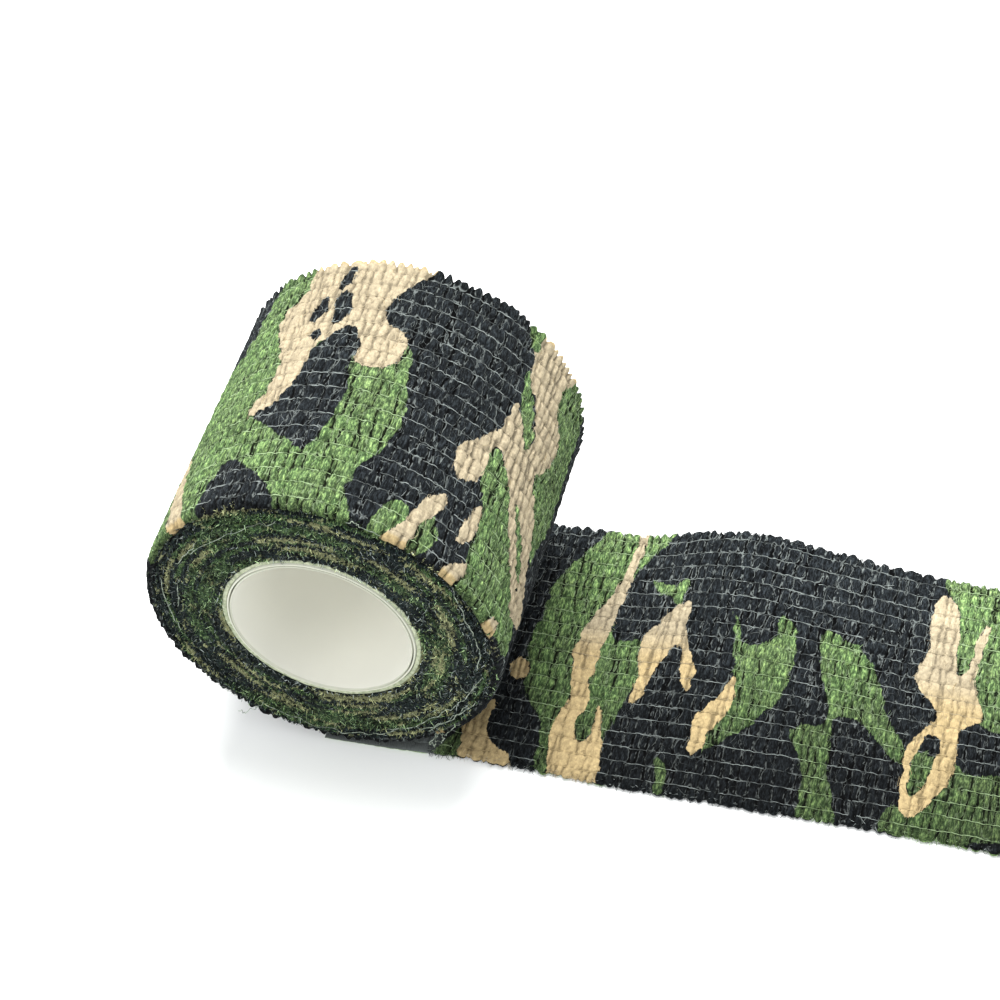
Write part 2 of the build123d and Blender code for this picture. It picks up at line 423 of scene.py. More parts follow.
class Nodes:
    """A short way to write a node tree. Values may be numbers, colours or other nodes' outputs."""

    def __init__(self, name):
        self.material = bpy.data.materials.new(name)
        self.material.use_nodes = True
        self.tree = self.material.node_tree
        self.tree.nodes.clear()
        self.shader = self.node("BsdfPrincipled", {})
        self.node("OutputMaterial", {0: self.shader.outputs[0]})

    def fill(self, node, inputs):
        for key, value in inputs.items():
            if isinstance(value, bpy.types.NodeSocket):
                self.tree.links.new(value, node.inputs[key])
            else:
                node.inputs[key].default_value = value

    def node(self, kind, inputs, **settings):
        node = self.tree.nodes.new("ShaderNode" + kind)
        for key, value in settings.items():
            setattr(node, key, value)
        self.fill(node, inputs)
        return node

    def finish(self, **values):
        self.fill(self.shader, {key.replace("_", " "): value for key, value in values.items()})
        return self.material

    def maths(self, kind, a, b):
        return self.node("Math", {0: a, 1: b}, operation=kind).outputs[0]

    def product(self, first, *others):
        for other in others:
            first = self.maths("MULTIPLY", first, other)
        return first

    def ramp(self, value, low, high, to_low=0.0, to_high=1.0, soft=True):
        inputs = dict(enumerate((value, low, high, to_low, to_high)))
        kind = "SMOOTHSTEP" if soft else "LINEAR"
        return self.node("MapRange", inputs, interpolation_type=kind).outputs[0]

    def mix(self, share, a, b, kind="MIX"):
        return self.node("Mix", {0: share, 6: a, 7: b}, data_type="RGBA", blend_type=kind).outputs[2]

    def place(self, scale=(1, 1, 1), turn=(0, 0, 0)):
        point = self.node("TexCoord", {}).outputs["Object"]
        turn = [math.radians(x) for x in turn]
        return self.node("Mapping", {"Vector": point, "Scale": scale, "Rotation": turn}).outputs[0]

    def texture(self, vector, scale, detail=2.0, rough=0.5):
        inputs = {"Vector": vector, "Scale": scale, "Detail": detail, "Roughness": rough}
        return self.node("TexNoise", inputs).outputs[0]

    def value(self, name):
        return self.node("Attribute", {}, attribute_name=name).outputs["Fac"]

    def bump(self, height, distance, strength=1.0):
        inputs = {"Height": height, "Distance": distance, "Strength": strength}
        return self.node("Bump", inputs).outputs[0]


def rgb(r, g, b):
    """A display colour, 0 to 255, as the linear colour that a shader takes."""
    def line(v):
        v /= 255
        return v / 12.92 if v <= 0.04045 else ((v + 0.055) / 1.055) ** 2.4
    return (line(r), line(g), line(b), 1.0)


# The fourth print colour is a warmer tan that the cloth takes where it lies in painted shade.
PRINT = rgb(21, 24, 26), rgb(86, 108, 72), rgb(172, 159, 133), rgb(182, 161, 119)
CUT_PRINT = rgb(25, 32, 32), rgb(55, 76, 58), rgb(138, 141, 104), rgb(138, 141, 104)
PALE, PALE_GREEN = rgb(158, 166, 163), rgb(170, 194, 148)


def cloth_material(name, colours, ragged_by, netted):
    """Printed crinkled non-woven. It reads the print's depths, the pucker height, a painted shade and a
    paleness from the mesh, and adds fibres, mottling, dark creases that are partly painted shade, painted
    highlights on the pucker crowns and a warmer tan where the painted shade is deep. netted is how pale the
    creases' brinks are, a painted highlight."""
    n = Nodes(name)
    plain_black, plain_green, plain_tan, painted_shade_tan = colours
    ragged = n.texture(n.place((1, 0.4, 1)), 2400, 3, 0.6)
    edge = n.product(n.maths("SUBTRACT", ragged, 0.5), ragged_by)
    in_green = n.ramp(n.maths("ADD", n.value("green"), edge), -0.09, 0.09)
    in_tan = n.ramp(n.maths("ADD", n.value("tan"), edge), -0.07, 0.07)
    tan_kept = n.product(in_tan, 0.0 if colours is CUT_PRINT else 1.0)
    one = n.texture(n.place((1, 0.25, 1), (0, 0, 27)), 3600, 3, 0.65)
    two = n.texture(n.place((1, 0.25, 1), (18, 0, -31)), 3100, 3, 0.65)
    fibre = n.ramp(n.maths("MAXIMUM", one, two), 0.44, 0.76)
    mottle = n.texture(n.place(), 1500, 3, 0.65)
    patchy = n.texture(n.place(), 160, 3, 0.55)
    lift, shaded = n.value("lift"), n.value("shade")
    low = n.ramp(lift, 0.12, 0.70)
    brink = n.product(n.ramp(lift, 0.26, 0.42), n.ramp(lift, 0.42, 0.62, 1, 0),
                      n.ramp(n.texture(n.place(), 900, 2, 0.5), 0.46, 0.60, 0, netted))

    def toned(colour, dim, bright, crease, crown, spread=0.5):
        """A colour from dim to bright by its fibres, then by mottling, a painted highlight on the pillows'
        crowns, creases darker, partly thinner print and partly painted shade, and patches.
        """
        shade = n.product(n.ramp(fibre, 0, 1, dim, bright, False),
                          n.ramp(mottle, 0.28, 0.72, 1 - spread, 1 + spread, False),
                          n.ramp(lift, 0.65, 1.10, 1.0, crown),
                          n.ramp(low, 0, 1, crease, 1.0, False),
                          n.ramp(patchy, 0.3, 0.7, 0.93, 1.07, False))
        return n.mix(1.0, colour, shade, "MULTIPLY")

    black = toned(plain_black, 0.38, 3.6, 0.09, 1.3)
    leafy = n.mix(n.ramp(patchy, 0.35, 0.65), plain_green, n.mix(0.25, plain_green, rgb(72, 112, 60)))
    green = toned(n.mix(fibre, leafy, n.mix(0.35, leafy, rgb(126, 138, 76))), 0.31, 2.0, 0.06, 1.5)
    # Painted shade: where the shade is low, the tan turns to the warmer painted-shade tan.
    tan = toned(n.mix(n.ramp(shaded, 0.76, 0.96), painted_shade_tan, plain_tan), 0.84, 1.15, 0.50, 1.0, 0.30)
    colour = n.mix(in_tan, n.mix(in_green, black, green), tan)
    lighter = n.mix(in_tan, n.mix(in_green, PALE, PALE_GREEN), tan)
    colour = n.mix(n.maths("MAXIMUM", brink, n.value("pale")), colour, lighter)
    tan_shade = n.maths("MAXIMUM", shaded, n.ramp(shaded, 0.4, 0.9, 0.82, 0.98, False))
    tan_shade = n.mix(tan_kept, shaded, tan_shade)
    colour = n.mix(1.0, colour, tan_shade, "MULTIPLY")
    relief = n.maths("ADD", n.product(fibre, 0.7), n.product(mottle, 0.5))
    return n.finish(Base_Color=colour, Roughness=n.ramp(fibre, 0, 1, 0.94, 0.78, False),
                    Specular_IOR_Level=0.05, Sheen_Weight=0.02, Sheen_Roughness=0.45,
                    Normal=n.bump(relief, 0.00016, 0.9))


def plastic_material():
    n = Nodes("core_plastic_white")
    fine = n.texture(n.place((1, 0.3, 1)), 420, 4, 0.6)
    broad = n.texture(n.place(), 60, 2, 0.5)
    colour = n.mix(n.ramp(broad, 0.3, 0.7), rgb(216, 215, 206), rgb(222, 221, 212))
    # Painted shade: the rims are painted a darker tone of the same white plastic.
    colour = n.mix(n.value("rim"), colour, rgb(181, 182, 167))
    return n.finish(Base_Color=colour, Roughness=n.ramp(fine, 0.3, 0.7, 0.42, 0.55, False), IOR=1.46,
                    Normal=n.bump(fine, 0.00002, 0.4))


def paper_material():
    n = Nodes("wrap_paper_cream")
    grain = n.texture(n.place((1, 1, 1)), 1500, 4, 0.65)
    colour = n.mix(n.ramp(grain, 0.35, 0.65), rgb(124, 132, 106), rgb(168, 173, 147))
    return n.finish(Base_Color=colour, Roughness=0.8, Normal=n.bump(grain, 0.00006, 0.6))


def floor_material():
    n = Nodes("floor_white")
    grain = n.texture(n.place(), 25, 3, 0.5)
    colour = n.mix(grain, (0.90, 0.91, 0.902, 1), (0.92, 0.93, 0.922, 1))
    return n.finish(Base_Color=colour, Roughness=0.75)


def strand_material():
    n = Nodes("stray_filament")
    grain = n.texture(n.place(), 1800, 2, 0.5)
    return n.finish(Base_Color=n.mix(n.ramp(grain, 0.4, 0.6), rgb(84, 98, 82), rgb(160, 172, 154)),
                    Roughness=0.6, Sheen_Weight=0.2)


cloth = cloth_material("camo_cloth_print", PRINT, 1.0, 0.42)
cut_cloth = cloth_material("camo_cloth_cut_edge", CUT_PRINT, 3.2, 0.0)
yarn_cloth = cloth_material("elastic_yarn", PRINT, 1.0, 0.0)
strand = strand_material()


# --- the wound roll

SHOULDER = 1.6
NEAR_DROP, FAR_DROP = 0.95, -0.20
CREST_R = ROLL_R + 0.2
PUCKER_DEEP = 0.55
INSIDE_R = 26.0
SEAM = -36.0
roll_puckers = Puckers(SEAM, ROUND + SEAM, 3, True)


def round_roll_positions(columns):
    return SEAM + ROUND * np.arange(columns) / columns


def shoulder(y):
    """How far the roll's outer surface has rounded down at y. The far end is squarer."""
    past = np.clip((np.abs(y) - (HALF_WIDTH - SHOULDER)) / SHOULDER, 0, 1)
    return (NEAR_DROP if y < 0 else FAR_DROP) * past ** 2


def roll_surface(s, y):
    """Height and position of the outermost turn at each s, for one y."""
    h = roll_puckers.height(s, y)
    a = s / ROLL_R
    slow = 0.12 * noise(np.sin(a) * 3, y / 14, np.cos(a) * 3, 1.0, 31)
    radius = CREST_R - PUCKER_DEEP * (1 - np.clip(h, 0, 1.1)) - shoulder(y) - 0.1 + slow
    radius = np.minimum(radius, CREST_R + 0.2 * (y > 0))
    outward = np.clip((abs(y) - 24.1) / 0.9, 0, 1) * math.copysign(1, y)
    yy = y + outward * (0.75 * (h - 0.5) + 0.24 * noise(s, y, 2, 0.7, 32))
    return h, around(radius, a, yy)


class Surface:
    """A grid of surface points, by s and y, that loose fibres can be laid on."""

    def __init__(self, s, rows, points, lifts, patches, round_roll):
        self.s, self.rows, self.patches, self.round_roll = s, rows, patches, round_roll
        self.points, self.lifts = np.array(points), np.array(lifts)

    def at(self, s, y):
        u = np.interp(s, self.s, np.arange(len(self.s)))
        v = np.interp(y, self.rows, np.arange(len(self.rows)))
        i, j = np.minimum(u.astype(int), len(self.s) - 2), np.minimum(v.astype(int), len(self.rows) - 2)
        p, q = (u - i)[:, None], (v - j)[:, None]
        near = self.points[j, i] * (1 - p) + self.points[j, i + 1] * p
        far = self.points[j + 1, i] * (1 - p) + self.points[j + 1, i + 1] * p
        return near * (1 - q) + far * q, self.lifts[j, i]


def lay_fibres(name, surface, total, seed, outward, shade):
    """Pale fibres lying loose on the cloth, mostly across the strip, as the creases do."""
    rng = np.random.default_rng(seed)
    first, last = surface.s[0] + 2.5, surface.s[-1] - 2.5
    paths, radii, ss, yy = [], [], [], []
    t = np.linspace(-0.5, 0.5, 5)
    aside = np.linspace(-0.42, 0.42, 8)
    for _ in range(total):
        y = 48.0 * rng.random() ** 0.8 - 24.0
        s = rng.uniform(first, last)
        length = rng.uniform(0.8, 2.6)
        turn = rng.normal(0, 0.20) if rng.random() < 0.85 else rng.uniform(-1.5, 1.5)
        along = s + t * length * math.sin(turn) + rng.normal(0, 0.05, 5)
        across = y + t * length * math.cos(turn)
        _, lift = surface.at(np.add.outer(along, aside).ravel(), np.repeat(across, len(aside)))
        along = along + aside[np.argmin(np.abs(lift.reshape(5, -1) - 0.55), 1)]
        along[1:-1] = (along[:-2] + 2 * along[1:-1] + along[2:]) / 4
        place, _ = surface.at(along, across)
        out = outward(place)
        lifted = 0.012 + 0.05 * rng.random() * (0.25 - t ** 2) * 4 - 0.05 * (np.abs(t) > 0.4)
        paths.append(place + out * lifted[:, None])
        radii.append(rng.uniform(0.024, 0.046) * np.array([0.4, 0.9, 1.0, 0.9, 0.4]))
        ss.append(s)
        yy.append(y)
    ss, yy = np.array(ss), np.array(yy)
    green, tan = printed(surface.patches, ss, yy, surface.round_roll)
    pale = 0.04 + 0.5 * rng.random(total) ** 2.2
    tint = rng.uniform(0.8, 1.5, total) * shade(yy)
    return fibre_mesh(name, paths, radii, cloth, green, tan, tint, pale)


def from_axis(points):
    out = points * np.array([1.0, 0, 1.0])
    return out / np.linalg.norm(out, axis=1, keepdims=True)


def build_roll():
    columns = 880
    s = round_roll_positions(columns)
    points, lifts, yy = [], [], []
    for y in ROWS:
        h, p = roll_surface(s, y)
        points.append(p)
        lifts.append(h)
        yy.append(np.full(columns, y))
    surface = Surface(s, ROWS, points, lifts, ROLL_PRINT, True)
    a = s / ROLL_R
    for y in (24.6, -24.6):
        points.append(around(INSIDE_R, a, y))
        lifts.append(np.zeros(columns))
        yy.append(np.full(columns, y))
    yy, ss = np.concatenate(yy), np.tile(s, len(points))
    green, tan = printed(ROLL_PRINT, ss, yy, True)
    # Painted shade: both rounded shoulders of the roll are painted darker, the near one more.
    dim = 1 - 0.35 * smooth((np.abs(yy) - 24.3) / 0.9) - 0.25 * smooth((-yy - 23.6) / 1.2)
    faces = grid_faces(len(points), columns, 0, wrap_columns=True, wrap_rows=True, flip=True)
    return mesh_object("bandage_roll", np.concatenate(points), faces, cloth, green=green, tan=tan,
                       lift=np.concatenate(lifts), shade=dim), surface


def yarn_wander(s, i):
    """How far yarn i strays across the strip, where it sinks under the fibres, and its radius."""
    wave = 0.11 * noise(s, i * 7.0, 0, 1.1, 41) + 0.18 * noise(s, i * 5.0, 3, 6.0, 42)
    sunk = smooth((noise(s, i * 9.0, 1, 1.6, 43) - 0.38) / 0.3)
    thick = 0.068 + 0.02 * noise(s, i * 3.0, 2, 3.0, 44)
    return wave, sunk, thick


def yarn_pale(s, i):
    """How far yarn i shows its own pale colour through the print's."""
    return 0.22 + 0.66 * smooth((noise(s, i * 4.0, 5, 1.3, 45) + 0.35) / 0.7)


def build_roll_yarns():
    columns = 460
    s = round_roll_positions(columns)
    a = (s / ROLL_R)[:, None]
    points, faces, ss, yy, lifts, pales = [], [], [], [], [], []
    sides, base = 4, 0
    turn = np.radians(45 + 90 * np.arange(sides))
    for i, y in enumerate(YARN_Y):
        wave, sunk, thick = yarn_wander(s, i)
        h, p = roll_surface(s, y)
        radius = np.hypot(p[:, 0], p[:, 2]) + 0.03 - 0.16 * sunk
        ring_r = radius[:, None] + thick[:, None] * np.cos(turn)
        ring_y = (y + wave)[:, None] + thick[:, None] * np.sin(turn)
        points.append(around(ring_r, a, ring_y).reshape(-1, 3))
        faces += grid_faces(columns, sides, base, wrap_columns=True, wrap_rows=True, flip=True)
        base += columns * sides
        ss.append(np.repeat(s, sides))
        yy.append(ring_y.ravel())
        lifts.append(np.repeat(0.5 + 0.5 * h, sides))
        pales.append(np.repeat(yarn_pale(s, i), sides))
    ss, yy = np.concatenate(ss), np.concatenate(yy)
    green, tan = printed(ROLL_PRINT, ss, yy, True)
    return mesh_object("roll_yarns", np.concatenate(points), faces, yarn_cloth, green=green, tan=tan,
                       lift=np.concatenate(lifts), shade=np.ones(len(ss)), pale=np.concatenate(pales))


# --- the roll's end faces

# How far the end faces lie from the middle of the strip, before they are crumpled.
FACE_Y = 24.95
# Streaks of lighter print on the cut edges, as (radius, first angle, last angle, half width).
FACE_STREAKS = [
    (16.7, 146, 189, 0.65), (15.9, -108, -86, 0.35), (19.9, -20, 14, 0.30), (17.7, 6, 24, 0.35),
    (26.7, -36, -8, 0.55), (21.0, -58, -44, 0.35), (21.4, 64, 80, 0.32), (18.7, 92, 110, 0.40),
    (20.6, -142, -120, 0.35), (22.0, -166, -146, 0.40), (21.6, 145, 166, 0.35), (25.2, -128, -112, 0.30),
    (23.9, 8, 30, 0.30), (20.4, 30, 52, 0.28), (24.4, 40, 60, 0.25), (18.9, -150, -128, 0.25),
    (23.0, 120, 140, 0.25),
]
FACE_GREENS = [
    (22.3, -42, 12, 0.9), (18.6, 80, 128, 1.5), (17.8, -86, -44, 1.2), (22.5, 150, 205, 1.3),
    (24.6, 185, 222, 0.9), (19.2, 20, 58, 0.6), (20.7, -110, -78, 0.8),
]


def edge_print(length, seed):
    """The print met along the cut edge of the wound strip: starts, ends and colours of its stretches."""
    rng = np.random.default_rng(seed)
    at, out = 0.0, []
    while at < length:
        kind = rng.choice(3, p=[0.56, 0.32, 0.12])
        run = rng.uniform(*((6, 18), (5, 14), (3, 8))[kind])
        out.append((at, at + run, kind))
        at += run
    return np.array(out).T


def face_colours(radius, angle, seed):
    """Depths inside green and tan on an end face, from the turns that meet it there."""
    turn = np.floor((radius - CORE_R) / TURN_PITCH - angle / (2 * math.pi))
    mid = CORE_R + TURN_PITCH * (turn + 0.5 + angle / (2 * math.pi))
    along = (turn * 2 * math.pi + angle) * (CORE_R + mid) / 2
    starts, ends, kinds = edge_print(2600, seed)
    along = along + 1.2 * noise(radius * np.sin(angle), radius * np.cos(angle), seed, 1.1, 51) + 60
    k = np.clip(np.searchsorted(starts, along) - 1, 0, len(starts) - 1)
    inner = np.minimum(along - starts[k], ends[k] - along)
    green = np.where(kinds[k] == 1, inner, -inner).clip(-1, 0.8)
    tan = np.where(kinds[k] == 2, inner, -inner).clip(-1.3, 0.5)
    return green * 0.4, tan * 0.4 - 0.05


def arc_depth(radius, angle, arcs):
    """How deep each point of an end face is inside a set of arcs, in mm."""
    depth = np.full(radius.shape, -2.0)
    degrees = np.degrees(angle)
    for r, first, last, half in arcs:
        middle, reach = (first + last) / 2, (last - first) / 2
        off = (degrees - middle + 180) % 360 - 180
        along = (reach - np.abs(off)) * math.radians(1) * r
        depth = np.maximum(depth, np.minimum(half - np.abs(radius - r), along * 0.3))
    return depth


def near_streaks(radius, angle, green, tan):
    """Adds the near end's own streaks to its colours."""
    green = np.maximum(green, (arc_depth(radius, angle, FACE_GREENS) * 0.5).clip(-2, 0.4))
    return green, np.maximum(tan, arc_depth(radius, angle, FACE_STREAKS).clip(-2, 0.3))


def face_relief(radius, angle, side):
    """How far the crumpled cut edges stand out from an end face, in mm."""
    x, z = radius * np.sin(angle), radius * np.cos(angle)
    wander = 0.24 * noise(x, side, z, 1.1, 61) + 0.14 * noise(x, side, z, 0.5, 62)
    layer = (radius + wander - CORE_R) / TURN_PITCH - angle / (2 * math.pi)
    ridge = 1 - np.abs(2 * (layer - np.floor(layer)) - 1)
    loose = smooth((radius - 22.5) / 3.0)
    grain = noise(x, side, z, 0.72, 63) * 0.6 + noise(x, side, z, 0.40, 64) * 0.6
    high = (ridge - 0.5) * (0.16 + 0.50 * loose) + grain * (0.34 + 0.12 * loose)
    return high + 0.14 * noise(x, side, z, 4.0, 65)


def face_y(radius, angle, side):
    """Position across the strip of an end face's surface."""
    outer = 0.45 * smooth((radius - 25.4) / 1.7) ** 2
    return side * (FACE_Y + face_relief(radius, angle, side) - outer)


def build_edges():
    columns, rings = 720, 60
    angle = 2 * math.pi * np.arange(columns) / columns
    radii = np.linspace(CORE_R - 0.02, 27.0, rings)
    points, values = [], {"green": [], "tan": [], "lift": []}
    for side in (-1, 1):
        for r in (radii if side < 0 else radii[::-1]):
            rr = r + 0.07 * noise(r * np.sin(angle), side * 5, r * np.cos(angle), 0.6, 66)
            y = face_y(rr, angle, side)
            points.append(around(rr, angle, y))
            green, tan = face_colours(rr, angle, 71 + side)
            if side < 0:
                green, tan = near_streaks(rr, angle, green, tan)
            speck = 0.25 * noise(points[-1][:, 0], 3, points[-1][:, 2], 0.6, 72)
            values["green"].append(green + speck)
            values["tan"].append(tan + speck)
            # Painted shade: the lower parts of the end faces, the gaps between turns, are painted darker
            # through lift.
            values["lift"].append(np.clip(0.42 + (side * y - FACE_Y) * 1.1, 0, 1.2))
    faces = grid_faces(len(points), columns, 0, wrap_columns=True, wrap_rows=True)
    values = {k: np.concatenate(v) for k, v in values.items()}
    values["shade"] = np.ones(len(values["lift"]))
    return mesh_object("wound_edges", np.concatenate(points), faces, cut_cloth, **values)


def polar(radius, degrees, y):
    a = math.radians(degrees)
    return np.array([radius * math.sin(a), y, radius * math.cos(a)])


def short_fibre(rng, root, lean, length, thick):
    """A bent fibre's path and thickness along it."""
    lean = lean / np.linalg.norm(lean)
    curl = np.cross(lean, rng.normal(0, 1, 3))
    t = np.linspace(0, 1, 4)[:, None]
    path = root + lean * t * length + curl * t ** 2 * length * rng.uniform(0.1, 0.55)
    return path, thick * np.array([1.0, 0.95, 0.8, 0.35])


def build_edge_fuzz():
    """Short broken fibres that stand out of the cut edges and the shoulders of the roll."""
    rng = np.random.default_rng(81)
    paths, radii = [], []
    total = 24000
    sides = np.where(rng.random(total) < 0.66, -1, 1)
    aa = rng.uniform(0, 2 * math.pi, total)
    rr = np.sqrt(rng.uniform(CORE_R ** 2 + 2, 27.0 ** 2, total))
    rr = np.where(rng.random(total) < 0.20, rng.uniform(26.0, 27.2, total), rr)
    yy = np.where(sides < 0, face_y(rr, aa, -1), face_y(rr, aa, 1)) - sides * 0.10
    for r, angle, y, side in zip(rr, aa, yy, sides):
        out = np.array([math.sin(angle), 0, math.cos(angle)])
        about = np.array([math.cos(angle), 0, -math.sin(angle)])
        lean = np.array([0, side * rng.uniform(0.25, 0.8), 0]) + about * rng.normal(0, 0.8)
        lean = lean + out * (rng.normal(0, 0.6) + 0.6 * smooth((r - 25.6) / 1.4))
        length = rng.uniform(0.30, 0.95) * (0.6 if r > 25.8 else 1.0)
        path, radius = short_fibre(rng, r * out + np.array([0, y, 0]), lean, length,
                                   rng.uniform(0.030, 0.054))
        paths.append(path)
        radii.append(radius)
    green, tan = near_streaks(rr, aa, *face_colours(rr, aa, 70))
    # Painted light: the fibres are painted lighter towards the right side of the end faces.
    tint = np.exp(rng.uniform(-1.1, 1.6, total)) * (1 + 0.32 * np.clip(np.sin(aa), 0, 1))
    pale = np.where(rng.random(total) < 0.45, rng.uniform(0.04, 0.45, total), 0)
    pale = np.where((rr < CORE_R + 0.7) & (rng.random(total) < 0.5), 0.75, pale)
    return fibre_mesh("edge_fuzz", paths, radii, cut_cloth, green, tan, tint, pale, (0.5, 0.17))


# Loose pale filaments along the near end face: rows of (radius, degrees from the top, y).
FILAMENTS = [
    [(22.9, -54, -25.2), (22.1, -38, -25.4), (22.9, -20, -25.35), (23.8, -7, -25.2)],
    [(26.2, 57, -25.0), (25.0, 68, -25.4), (24.5, 78, -25.3), (24.7, 89, -25.4), (23.9, 100, -25.3)],
    [(24.9, 104, -25.2), (23.9, 120, -25.4), (23.3, 135, -25.3), (23.8, 150, -25.4), (24.2, 163, -25.2)],
    [(24.7, 160, -25.2), (24.9, 172, -25.4), (25.1, 190, -25.3), (24.6, 206, -25.3), (24.9, 213, -25.2)],
    [(25.2, -74, -25.2), (24.2, -89, -25.4), (23.7, -102, -25.2)],
    [(22.6, -71, -25.2), (22.3, -80, -25.4), (22.4, -88, -25.2)],
    [(26.6, 16, -25.0), (27.9, 19, -25.5), (28.0, 22, -25.6), (27.2, 28, -25.2)],
    [(25.6, 118, -25.0), (25.1, 131, -25.4), (25.4, 146, -25.3)],
    [(24.4, -148, -25.2), (25.8, -147, -26.0), (27.6, -145, -26.3), (28.6, -143.5, -26.0)],
    [(23.6, -62, -25.2), (23.0, -50, -25.4), (23.5, -44, -25.3)],
    [(26.4, 132, -25.3), (26.7, 137, -25.6), (27.0, 140.7, -25.8), (26.3, 142, -25.8), (27.0, 145, -25.9),
     (28.1, 145, -25.9), (27.4, 142.3, -25.9), (26.5, 141.3, -25.7)],
    [(25.9, 143, -25.5), (27.0, 146, -25.8), (27.7, 149.3, -25.9), (27.7, 147.6, -26.0),
     (28.2, 147.4, -26.0), (28.5, 148.5, -26.0)],
    [(24.6, 108, -25.3), (24.2, 112, -25.6), (23.2, 113, -25.5), (22.4, 111, -25.3)],
    [(25.3, 121, -25.2), (24.7, 128, -25.5), (24.9, 137, -25.4), (24.5, 149, -25.3)],
]


def build_filaments():
    rng = np.random.default_rng(91)
    paths, radii = [], []
    for points in FILAMENTS:
        line = through([polar(*p) for p in points], 14, False)
        n = len(line)
        shake = np.stack([noise(np.arange(n), i * 5, len(paths), 2.6, 92) for i in range(3)], 1)
        line = line + shake * np.array([0.24, 0.30, 0.24])
        paths.append(line)
        ends = np.minimum(np.arange(n), np.arange(n)[::-1])
        radii.append(rng.uniform(0.045, 0.065) * (0.4 + 0.6 * smooth(ends / 3)))
    points, faces, _, _ = tubes(paths, radii, 5)
    return mesh_object("edge_filaments", points, faces, strand)


# --- the free end

tail_puckers = Puckers(TAIL_START - 1, TAIL_END + 1, 13, False)
# Along the strip: how far its far edge is lifted off the table, and how far its near and far edges lie
# off a straight line.
WAVE = [(0, 0), (36, 0), (39, 0.3), (43, 1.6), (46, 2.8), (50, 3.9), (54.5, 4.3), (60, 3.8), (66, 2.5),
        (70, 1.7), (77, 0.9), (82, 0.1), (85, 0), (120, 0)]
NEAR_STRAY = [(-6, 0.2), (10, 0.2), (15, 0.4), (20, 0.8), (28, 0.4), (40, -0.1), (75, -0.2), (90, -0.5),
              (100, -0.8), (114, -1.1)]
FAR_STRAY = [(-6, -0.9), (30, -0.5), (45, -0.4), (58, 0), (70, 0), (80, -0.7), (92, -1.2), (100, -1.8),
             (114, -2.2)]


def eased(table, x):
    """A table of (x, value) read at x, with its corners rounded off."""
    xs, vs = zip(*table)
    return sum(np.interp(x + d, xs, vs) for d in (-3, -1.5, 0, 1.5, 3)) / 5


def share_across(y):
    """From 0 at the strip's near edge to 1 at its far edge."""
    return (np.asarray(y, float) + HALF_WIDTH) / (2 * HALF_WIDTH)


def wave(x, y):
    """How far the laid strip is lifted off the table: a long hump along its far edge."""
    return eased(WAVE, x) * smooth(share_across(y))


def stray(x, y):
    """How far the strip's edges wander off straight lines, shared across its width."""
    t = share_across(y)
    return eased(NEAR_STRAY, x) * (1 - t) + eased(FAR_STRAY, x) * t


def pressed(s):
    """From 0 where the roll stands on the strip to 1 where it is free."""
    return smooth((s - 5.0) / 9.0)


def under_roll(s):
    """From 1 where the strip is close under the roll, pressed smooth and painted with the flat tone of the
    shadow there, to 0.
    """
    return smooth((16.5 - np.asarray(s, float)) / 4.0)


def tail_row(s, y, side):
    """Height and position of the strip's upper (side 1) or lower surface at each s, for one y."""
    h = tail_puckers.height(s, y)
    press = 0.10 + 0.90 * pressed(s)
    mid = TAIL_MID - 0.26 * (1 - press)
    rise = (0.13 + 0.42 * np.clip(h, 0, 1.15)) * press + 0.04
    if side > 0:
        z = mid + rise + 0.06 * noise(s, y, 0, 9.0, 101) * press
    else:
        z = np.maximum(mid - rise * 0.72, FLOOR_Z + 0.03)
    curl = np.clip((abs(y) - 23.9) / 1.1, 0, 1) ** 2 * 0.20 * press
    z = z + wave(s, y) - side * curl
    outward = np.clip((abs(y) - 24.0) / 1.0, 0, 1) * math.copysign(1, y)
    ragged = 0.7 * (h - 0.5) + 0.24 * noise(s, y, 2, 0.7, 102)
    yy = y + outward * ragged * (1 - 0.9 * under_roll(s)) + stray(s, y)
    ends = smooth((s - (TAIL_END - 1.2)) / 1.2)
    ss = s + ends * 0.22 * noise(s, y, 4, 0.9, 103) - ends * 0.1
    return h, np.stack([ss, yy, z], -1)


